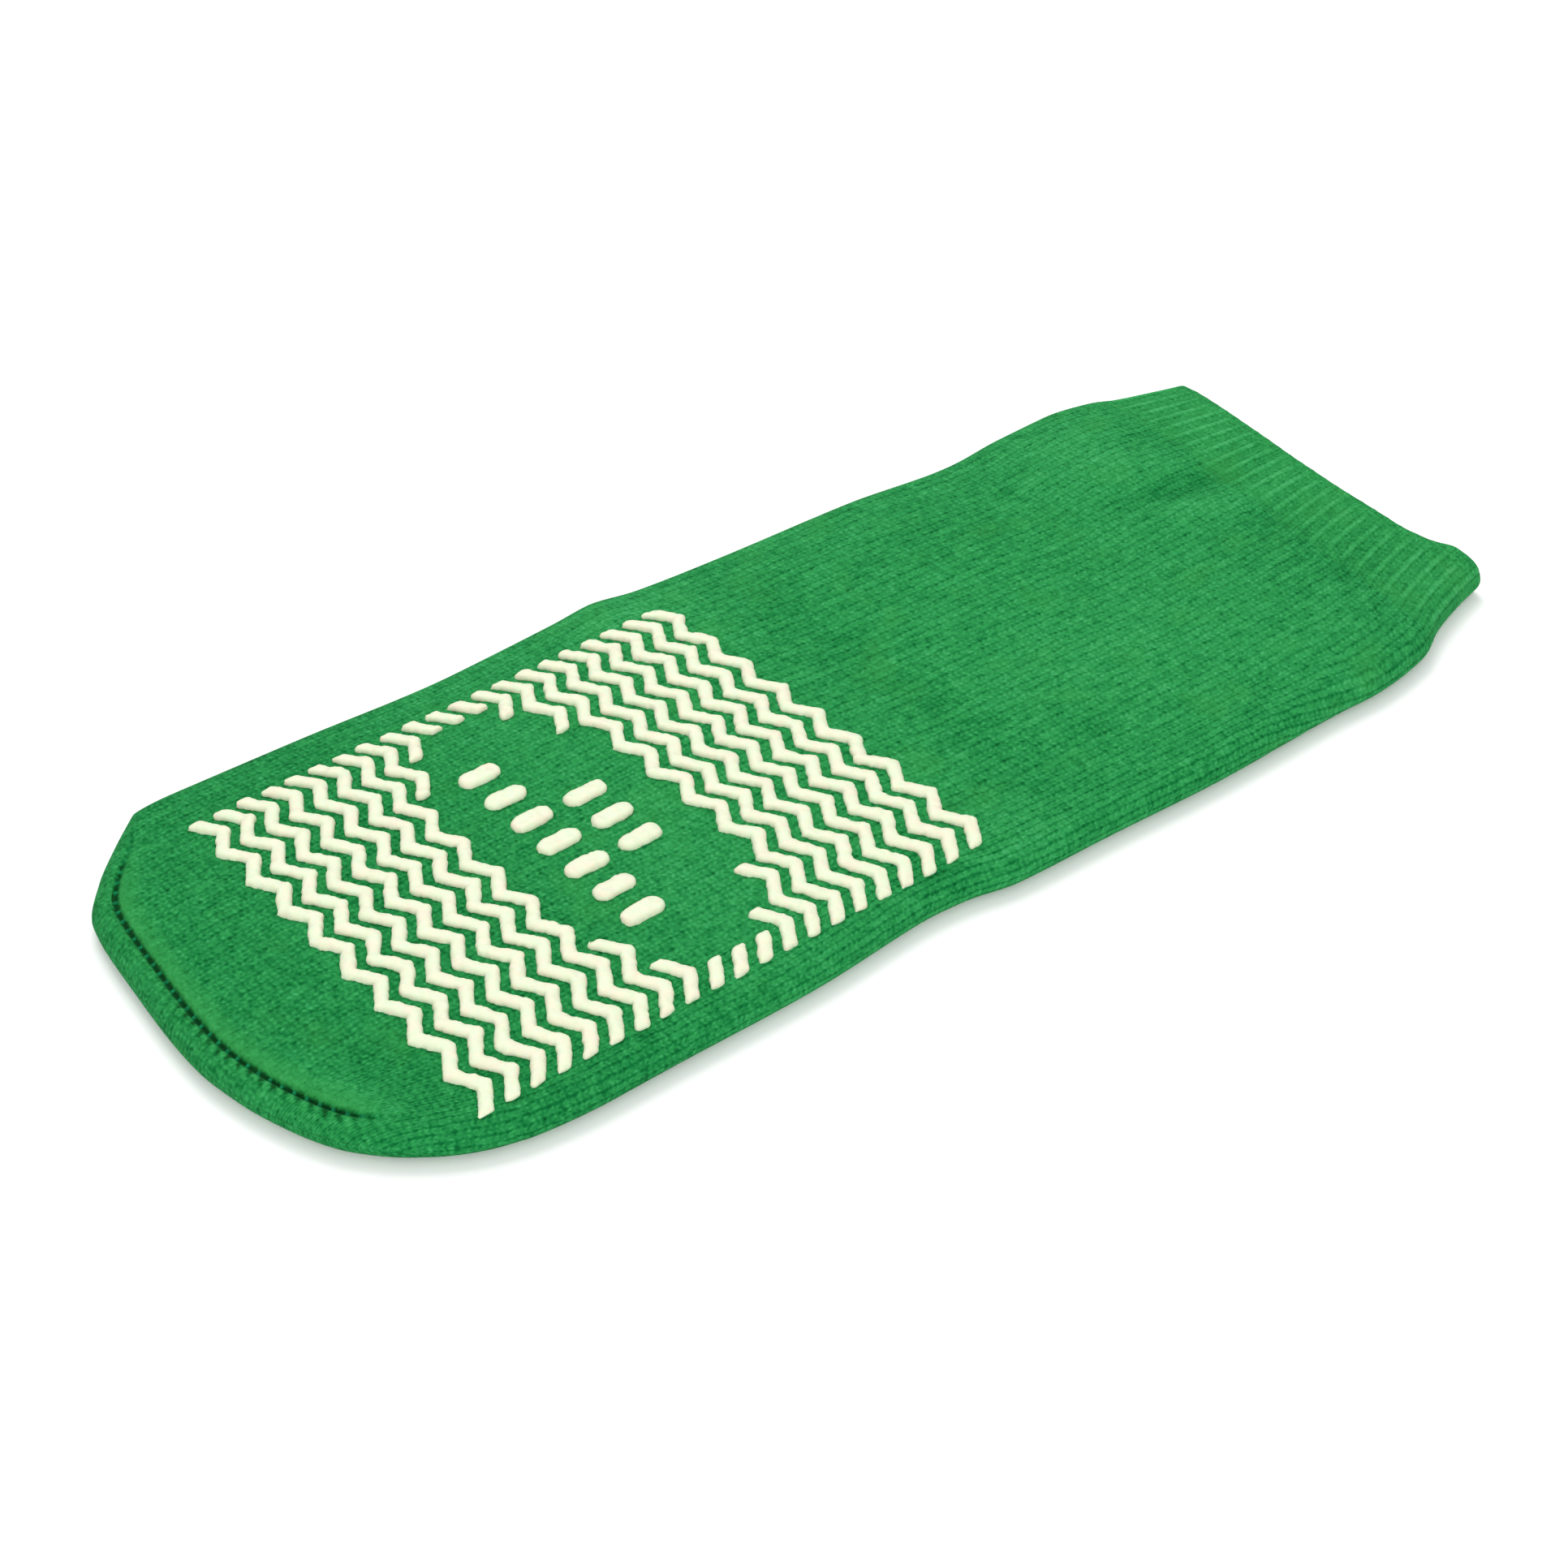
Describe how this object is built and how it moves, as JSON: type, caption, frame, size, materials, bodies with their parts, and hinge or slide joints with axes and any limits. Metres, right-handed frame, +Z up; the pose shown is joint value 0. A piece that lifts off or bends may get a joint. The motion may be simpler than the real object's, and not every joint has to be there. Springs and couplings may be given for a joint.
{
  "type": "slipper sock",
  "caption": "Knitted slipper sock lying flat with its grip side up: hollow tube foot and leg, ribbed cuff, linked toe seam and raised rubber grip print",
  "frame": {"origin": "middle of the bounding box, on the surface that the sock lies on", "axes": "+Y along the sock from toe to cuff, +Z up out of the grip side, +X across to the side that the picture shows nearest"},
  "size_m": [0.1168, 0.2606, 0.0102],
  "materials": {
    "green_knit": "matt plain knit of soft bulky yarn, one by one rib at the cuff",
    "seam_thread": "matt linking thread, sunk in a groove",
    "cream_rubber": "soft printed rubber, satin, slightly domed"
  },
  "bodies": {
    "root": {"grip_pad_1_1": "cream_rubber", "grip_pad_1_2": "cream_rubber", "grip_pad_1_3": "cream_rubber", "grip_pad_1_4": "cream_rubber", "grip_pad_1_5": "cream_rubber", "grip_pad_1_6": "cream_rubber", "grip_pad_1_7": "cream_rubber", "grip_pad_2_1": "cream_rubber", "grip_pad_2_2": "cream_rubber", "grip_pad_2_3": "cream_rubber", "grip_row_01": "cream_rubber", "grip_row_02": "cream_rubber", "grip_row_03": "cream_rubber", "grip_row_04": "cream_rubber", "grip_row_05": "cream_rubber", "grip_row_06": "cream_rubber", "grip_row_07": "cream_rubber", "grip_row_08_far": "cream_rubber", "grip_row_08_near": "cream_rubber", "grip_row_09_far": "cream_rubber", "grip_row_09_near": "cream_rubber", "grip_row_10_far": "cream_rubber", "grip_row_10_near": "cream_rubber", "grip_row_11_far": "cream_rubber", "grip_row_11_near": "cream_rubber", "grip_row_12_far": "cream_rubber", "grip_row_12_near": "cream_rubber", "grip_row_13_far": "cream_rubber", "grip_row_13_near": "cream_rubber", "grip_row_14_far": "cream_rubber", "grip_row_14_near": "cream_rubber", "grip_row_15": "cream_rubber", "grip_row_16": "cream_rubber", "grip_row_17": "cream_rubber", "grip_row_18": "cream_rubber", "grip_row_19": "cream_rubber", "grip_row_20": "cream_rubber", "grip_row_21": "cream_rubber", "knit_tube": "green_knit", "rib_cuff": "green_knit", "toe_seam": "seam_thread"}
  },
  "joints": []
}
